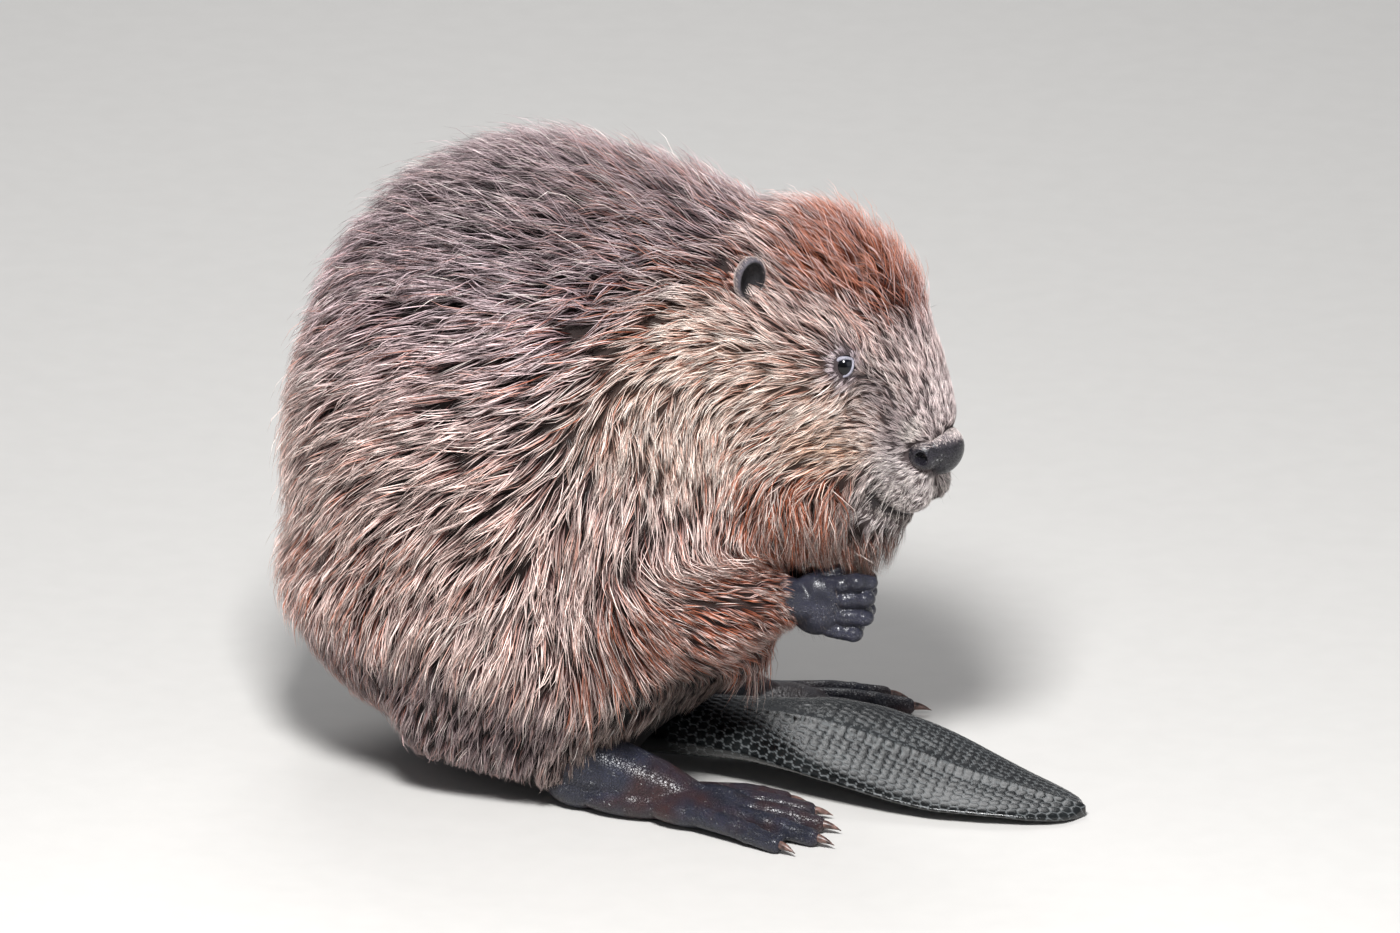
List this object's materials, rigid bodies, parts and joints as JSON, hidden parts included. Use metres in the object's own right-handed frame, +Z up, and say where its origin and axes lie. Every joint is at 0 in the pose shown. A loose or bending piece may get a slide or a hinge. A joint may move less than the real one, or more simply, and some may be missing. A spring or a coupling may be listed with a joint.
{
  "type": "beaver",
  "caption": "Life-size sitting beaver: round furred body, forepaws held together, webbed hind feet, flat scaly tail passed forward.",
  "frame": {"origin": "on the floor under the centre of the footprint", "axes": "+X is the way the body faces and the tail points, +Y the animal's left, +Z up"},
  "size_m": [0.6048, 0.3424, 0.4602],
  "materials": {
    "fur": "matte",
    "bare_skin": "satin",
    "tail_scales": "satin",
    "claw": "satin",
    "eye": "gloss"
  },
  "bodies": {
    "root": {"arm_left": "fur", "arm_right": "fur", "ear_left": "bare_skin", "ear_right": "bare_skin", "eye_left": "eye", "eye_right": "eye", "foot_left": "bare_skin", "foot_left_claw_1": "claw", "foot_left_claw_2": "claw", "foot_left_claw_3": "claw", "foot_left_claw_4": "claw", "foot_left_claw_5": "claw", "foot_right": "bare_skin", "foot_right_claw_1": "claw", "foot_right_claw_2": "claw", "foot_right_claw_3": "claw", "foot_right_claw_4": "claw", "foot_right_claw_5": "claw", "hand_left": "bare_skin", "hand_left_claw_1": "claw", "hand_left_claw_2": "claw", "hand_left_claw_3": "claw", "hand_left_claw_4": "claw", "hand_left_claw_5": "claw", "hand_right": "bare_skin", "hand_right_claw_1": "claw", "hand_right_claw_2": "claw", "hand_right_claw_3": "claw", "hand_right_claw_4": "claw", "hand_right_claw_5": "claw", "head": "fur", "neck": "fur", "nose": "bare_skin", "tail": "tail_scales", "tail_root": "fur", "thigh_left": "fur", "thigh_right": "fur", "torso": "fur"}
  },
  "joints": []
}
